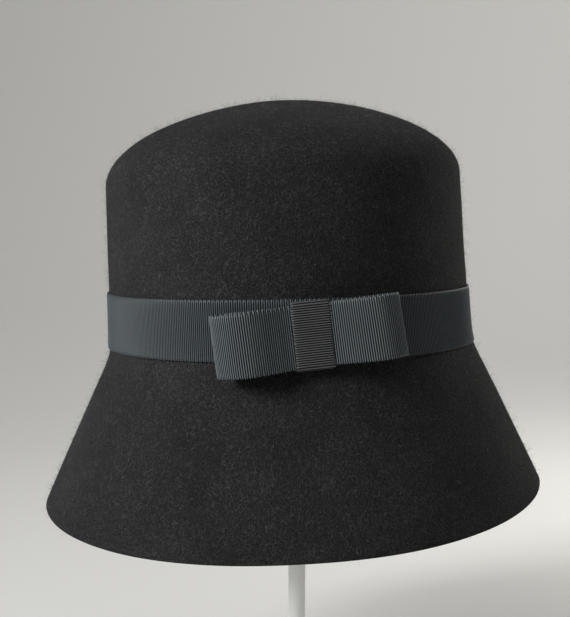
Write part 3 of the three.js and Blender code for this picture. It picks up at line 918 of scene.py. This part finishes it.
def makeStand():
    base, post, cap = (standShape[k] for k in ("base", "post", "cap"))
    socket = post["radius"] + post["clearance"]
    up = math.pi / 2
    edge = base["radius"] - base["rounding"]
    foot = turned("standBase", [
        (0, 0), (base["radius"] - 1, 0), *quarter(base["radius"] - 1, 1, 1, -up, 0, 4)[1:],
        *quarter(edge, base["thickness"] - base["rounding"], base["rounding"], 0, up, 8),
        *[(base["collar"] + 2.5 - r, base["thickness"] + 2.5 - h) for r, h in quarter(0, 0, 2.5, up, 0, 6)],
        *quarter(base["collar"] - 1, base["collarTop"] - 1, 1, 0, up, 5),
        (socket, base["collarTop"]), (socket, base["floor"]), (0, base["floor"]),
    ])
    low, high = (v.z / mm for v in map(Vector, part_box("stand_post")))
    column = turned("standPost", [(0, low), (post["radius"] - 0.4, low), (post["radius"], low + 0.4),
                                  (post["radius"], high - 0.4), (post["radius"] - 0.4, high), (0, high)])
    capLow, capTop = (v.z / mm for v in map(Vector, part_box("stand_cap")))
    under = capLow + cap["neckLength"]
    centre = capTop - cap["dome"]
    rimTurn = math.acos(cap["radius"] / cap["dome"])
    head = turned("standCap", [
        (0, under + post["clearance"]), (socket, under + post["clearance"]), (socket, capLow), (cap["neck"], capLow),
        *quarter(cap["neck"] + 5, under - 4.9, 4.9, math.pi, up, 6), (cap["radius"] - 1, under),
        (cap["radius"], under + 1), *quarter(0, centre, cap["dome"], rimTurn, up, 16)[:-1], (0, capTop),
    ])
    return foot, column, head


standBase, standPost, standCap = makeStand()
for piece in (standBase, standPost, standCap):
    report(piece)

# ---- what each piece stands for

plan = {
    "feltBody": (["felt_body"], "felt"),
    "feltNap": ([], "felt"),
    "feltStrays": ([], "felt"),
    "feltFlecks": ([], "felt"),
    "ribbonBand": (["ribbon_band"], "ribbon"),
    "bowLoops": (["bow_ribbon"], "ribbon"),
    "bowKnot": (["bow_knot"], "ribbon"),
    "standBase": (["stand_base"], "stand_paint"),
    "standPost": (["stand_post"], "stand_paint"),
    "standCap": (["stand_cap"], "stand_paint"),
}
for name, (nodes, slotName) in plan.items():
    piece = bpy.data.objects[name]
    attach(piece, "root")
    if nodes:
        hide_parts(*nodes)

print("pieces placed")

# ---- studio

studio = {"radius": 2.3, "bend": 1.5, "bendSteps": 12, "height": 2.0, "colour": (0.76, 0.75, 0.72), "segments": 96}


# A round sweep: a floor whose edge curves up into a wall.
def makeStudio():
    floorEnd = studio["radius"] - studio["bend"]
    profile = [(0.0, 0.0), (0.4, 0.0), (floorEnd, 0.0)]
    for k in range(1, studio["bendSteps"] + 1):
        turn = k * math.pi / (2 * studio["bendSteps"])
        profile.append((floorEnd + studio["bend"] * math.sin(turn), studio["bend"] * (1 - math.cos(turn))))
    profile.append((studio["radius"], studio["height"]))
    work = bmesh.new()
    count = studio["segments"]
    rings = []
    for radius, height in profile:
        around = 1 if radius == 0 else count
        rings.append([work.verts.new((radius * math.cos(math.tau * i / count), radius * math.sin(math.tau * i / count),
                                      height)) for i in range(around)])
    for low, high in zip(rings, rings[1:]):
        for i in range(count):
            corners = [low[i % len(low)], low[(i + 1) % len(low)], high[(i + 1) % len(high)], high[i % len(high)]]
            work.faces.new(list(dict.fromkeys(corners)))
    mesh = bpy.data.meshes.new("studioSweep")
    work.to_mesh(mesh)
    work.free()
    mesh.shade_smooth()
    material, tree, shader = newMaterial("palePaper", Roughness=0.9)
    shader.inputs["Base Color"].default_value = (*studio["colour"], 1)
    mesh.materials.append(material)
    sweep = meshObject("studioSweep", mesh)


lights = [
    {"name": "window", "at": (-0.97, -0.68, 0.74), "to": (0, 0, 0.2), "size": (0.4, 0.55),
     "power": 7.6, "spread": 115, "colour": (0.98, 0.99, 1.0)},
    {"name": "rightBack", "at": (0.7, 0.55, 0.6), "to": (0.32, 0.28, 0), "size": (0.35, 0.35),
     "power": 2.0, "spread": 120, "colour": (1.0, 0.99, 0.96)},
    {"name": "wallWash", "at": (0.6, 0.45, 1.5), "to": (0.3, 2.3, 1.1), "size": (1.2, 0.6),
     "power": 12.0, "spread": 180, "colour": (1.0, 0.99, 0.96)},
]
sky = {"colour": (0.9, 0.93, 1.0), "strength": 0.2}


def makeLights():
    for row in lights:
        data = bpy.data.lights.new(row["name"], "AREA")
        data.shape, data.size, data.size_y = "RECTANGLE", *row["size"]
        data.energy, data.color, data.spread = row["power"], row["colour"], math.radians(row["spread"])
        lamp = bpy.data.objects.new(row["name"], data)
        lamp.location = row["at"]
        lamp.rotation_euler = (Vector(row["to"]) - lamp.location).to_track_quat("-Z", "Y").to_euler()
        bpy.context.scene.collection.objects.link(lamp)
    world = bpy.data.worlds.new("softSky")
    world.use_nodes = True
    background = world.node_tree.nodes["Background"].inputs
    background["Color"].default_value = (*sky["colour"], 1)
    background["Strength"].default_value = sky["strength"]
    bpy.context.scene.world = world


viewpoint = {"lens": 73.4, "back": 600 * mm, "height": 235.7 * mm, "aside": -5.7 * mm, "down": 3.7}


def makeCamera():
    data = bpy.data.cameras.new("camera")
    data.lens = viewpoint["lens"]
    camera = bpy.data.objects.new("camera", data)
    camera.location = (viewpoint["aside"], -viewpoint["back"], viewpoint["height"])
    camera.rotation_euler = (math.radians(90 - viewpoint["down"]), 0, 0)
    bpy.context.scene.collection.objects.link(camera)
    bpy.context.scene.camera = camera


makeStudio()
makeLights()
makeCamera()
bpy.context.scene.view_settings.view_transform = "Standard"

total = sum(triangles(o) for o in bpy.data.objects if o.name in plan)
print(f"whole object: {total} triangles")
